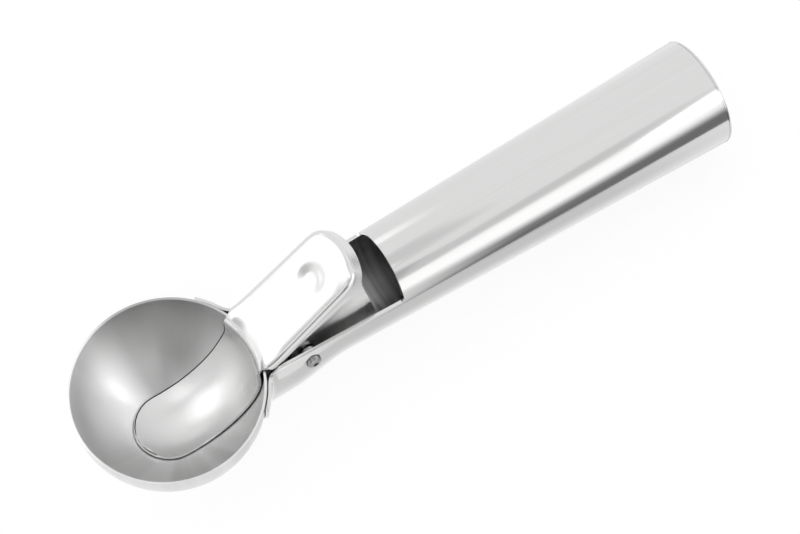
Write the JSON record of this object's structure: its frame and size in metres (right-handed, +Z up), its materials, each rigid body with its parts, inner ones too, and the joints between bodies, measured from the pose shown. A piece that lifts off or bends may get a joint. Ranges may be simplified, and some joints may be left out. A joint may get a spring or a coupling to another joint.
{
  "type": "ice cream scoop",
  "caption": "All-metal ice cream scoop: round bowl, tapered tube handle and a sprung thumb lever whose curved tongue sweeps the bowl to free the portion.",
  "frame": {"origin": "on the surface that the scoop lies on, below the middle of its overall box", "axes": "+X along the handle from the bowl to the butt, +Y to the side along the lever's pin, +Z up out of the open bowl"},
  "size_m": [0.1867, 0.05, 0.0479],
  "materials": {
    "bowl": "spun and polished stainless steel",
    "handle_tube": "satin stainless steel",
    "butt_cap": "satin stainless steel",
    "thumb_lever": "polished stainless steel",
    "pivot_pin": "riveted steel pin",
    "spacer_sleeve": "plain steel tube",
    "washer_near": "plain steel washer",
    "washer_far": "plain steel washer",
    "return_spring": "spring wire"
  },
  "bodies": {
    "handle": {"bowl": "bowl", "handle_tube": "handle_tube", "butt_cap": "butt_cap", "pivot_pin": "pivot_pin", "spacer_sleeve": "spacer_sleeve", "washer_near": "washer_near", "washer_far": "washer_far", "return_spring": "return_spring"},
    "lever": {"thumb_lever": "thumb_lever"}
  },
  "joints": [
    {"name": "lever_hinge", "type": "hinge", "parent": "handle", "child": "lever", "pos_m": [-0.03295, 0, 0.0215], "axis": [0, 1, 0], "range_deg": [0, 27], "stiffness_Nm_per_rad": 0.1, "springref_deg": -34.38, "deforming": ["return_spring"]}
  ]
}
